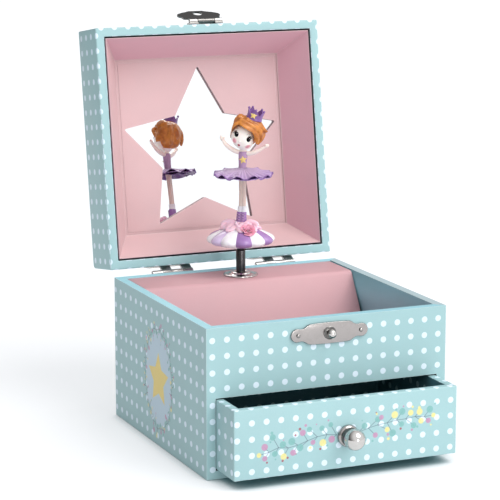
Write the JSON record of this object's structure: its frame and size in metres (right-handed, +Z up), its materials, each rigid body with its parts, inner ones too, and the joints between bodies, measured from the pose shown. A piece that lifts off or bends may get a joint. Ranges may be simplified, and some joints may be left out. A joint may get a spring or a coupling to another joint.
{
  "type": "music jewellery box",
  "caption": "Square paper-covered jewellery box with a mirrored lid, a pull-out drawer, a lined compartment, a wind-up music movement and a small dancer that turns on a magnetic post.",
  "frame": {"origin": "middle of the box's underside", "axes": "+Z up, -Y towards the drawer and the catch, +X to the right of someone who faces the drawer"},
  "size_m": [0.15, 0.251, 0.2436],
  "materials": {
    "paper_covered_board": "2 to 5 mm grey board wrapped in smooth printed paper, light blue with white dots",
    "lining_board": "board faced with plain pink lining paper",
    "plain_board": "grey board, bare on hidden faces",
    "nickel_plate": "bright nickel plate on steel, pressed, turned or drawn",
    "bright_steel": "hardened steel, ground or rolled",
    "die_cast_zinc": null,
    "brass": "turned and cut brass",
    "moulded_nylon": "moulded nylon gear plastic",
    "magnet_ferrite": "pressed ferrite disc magnet",
    "mirror_glass": "thin silvered glass",
    "figure_body_plastic": "moulded vinyl with painted details",
    "figure_base_plastic": "moulded plastic with painted lobes",
    "figure_hair_plastic": "painted plastic with combed grooves",
    "figure_crown_plastic": "glossy painted plastic",
    "tutu_plastic": "thin soft plastic, moulded in waves"
  },
  "bodies": {
    "box": {"left_side_panel": "paper_covered_board", "right_side_panel": "paper_covered_board", "back_panel": "paper_covered_board", "front_panel": "paper_covered_board", "base_panel": "paper_covered_board", "compartment_floor": "lining_board", "mechanism_partition": "plain_board", "mechanism_cover": "lining_board", "cover_grommet": "nickel_plate", "catch_plate": "nickel_plate", "catch_stud": "nickel_plate", "catch_nail_left": "nickel_plate", "catch_nail_right": "nickel_plate", "hinge_left_body_leaf": "nickel_plate", "hinge_right_body_leaf": "nickel_plate", "hinge_left_pin": "nickel_plate", "hinge_right_pin": "nickel_plate", "movement_bedplate": "die_cast_zinc", "spring_housing": "die_cast_zinc", "mainspring": "bright_steel", "music_comb": "bright_steel", "comb_screw_low": "bright_steel", "comb_screw_high": "bright_steel", "movement_screw_left": "bright_steel", "movement_screw_right": "bright_steel"},
    "lid": {"lid_top_panel": "paper_covered_board", "lid_left_wall": "paper_covered_board", "lid_right_wall": "paper_covered_board", "lid_front_wall": "paper_covered_board", "lid_back_wall": "paper_covered_board", "lid_liner": "lining_board", "star_panel": "plain_board", "lid_mirror": "mirror_glass", "hinge_left_lid_leaf": "nickel_plate", "hinge_right_lid_leaf": "nickel_plate", "hasp_bracket": "nickel_plate", "hasp_pin": "nickel_plate"},
    "hasp": {"hasp_leaf": "nickel_plate"},
    "drawer": {"drawer_front": "paper_covered_board", "drawer_left_side": "paper_covered_board", "drawer_right_side": "paper_covered_board", "drawer_back": "paper_covered_board", "drawer_bottom": "paper_covered_board", "drawer_knob": "nickel_plate", "knob_screw": "bright_steel"},
    "spindle": {"figure_post": "nickel_plate", "post_magnet": "magnet_ferrite", "cylinder_gear": "brass", "pin_cylinder": "brass"},
    "winder": {"great_wheel": "brass", "winding_key": "nickel_plate"},
    "idler": {"intermediate_wheel": "moulded_nylon"},
    "governor": {"governor_worm": "moulded_nylon", "governor_fan": "moulded_nylon"},
    "figure_lift": {"base_magnet": "magnet_ferrite"},
    "dancer": {"figure_base": "figure_base_plastic", "figure_body": "figure_body_plastic", "figure_hair": "figure_hair_plastic", "figure_crown": "figure_crown_plastic", "tutu": "tutu_plastic"}
  },
  "joints": [
    {"name": "lid_hinge", "type": "hinge", "parent": "box", "child": "lid", "pos_m": [0, 0.0789, 0.086], "axis": [1, 0, 0], "range_deg": [0, 98.7]},
    {"name": "hasp_hinge", "type": "hinge", "parent": "lid", "child": "hasp", "pos_m": [0, 0.10847, 0.23889], "axis": [1, 0, 0], "range_deg": [0, 155.5]},
    {"name": "drawer_slide", "type": "slide", "parent": "box", "child": "drawer", "axis": [0, -1, 0], "range_m": [-0.0253, 0.0497]},
    {"name": "music_spindle", "type": "hinge", "parent": "box", "child": "spindle", "pos_m": [0, 0.0525, 0.06], "axis": [0, 0, 1], "continuous": true},
    {"name": "winding_arbor", "type": "hinge", "parent": "box", "child": "winder", "pos_m": [0, 0.0745, 0.0419], "axis": [0, 1, 0], "continuous": true},
    {"name": "idler_arbor", "type": "hinge", "parent": "box", "child": "idler", "pos_m": [0.0096, 0.0525, 0.0511], "axis": [0, 0, 1], "continuous": true},
    {"name": "governor_shaft", "type": "hinge", "parent": "box", "child": "governor", "pos_m": [0.01635, 0.0525, 0.0511], "axis": [0, 1, 0], "continuous": true},
    {"name": "figure_lift_slide", "type": "slide", "parent": "box", "child": "figure_lift", "axis": [0, -0.9781, 0.2079], "range_m": [0, 0.2035]},
    {"name": "dancer_turn", "type": "hinge", "parent": "figure_lift", "child": "dancer", "pos_m": [0, 0.0525, 0.11], "axis": [0, 0, 1], "continuous": true}
  ],
  "couplings": [
    {"joint": "winding_arbor", "follows": "music_spindle", "ratio": -0.5},
    {"joint": "idler_arbor", "follows": "music_spindle", "ratio": -2},
    {"joint": "governor_shaft", "follows": "music_spindle", "ratio": 40},
    {"joint": "figure_lift_slide", "follows": "lid_hinge", "m_per_rad": 0.118},
    {"joint": "dancer_turn", "follows": "music_spindle", "ratio": 1}
  ]
}
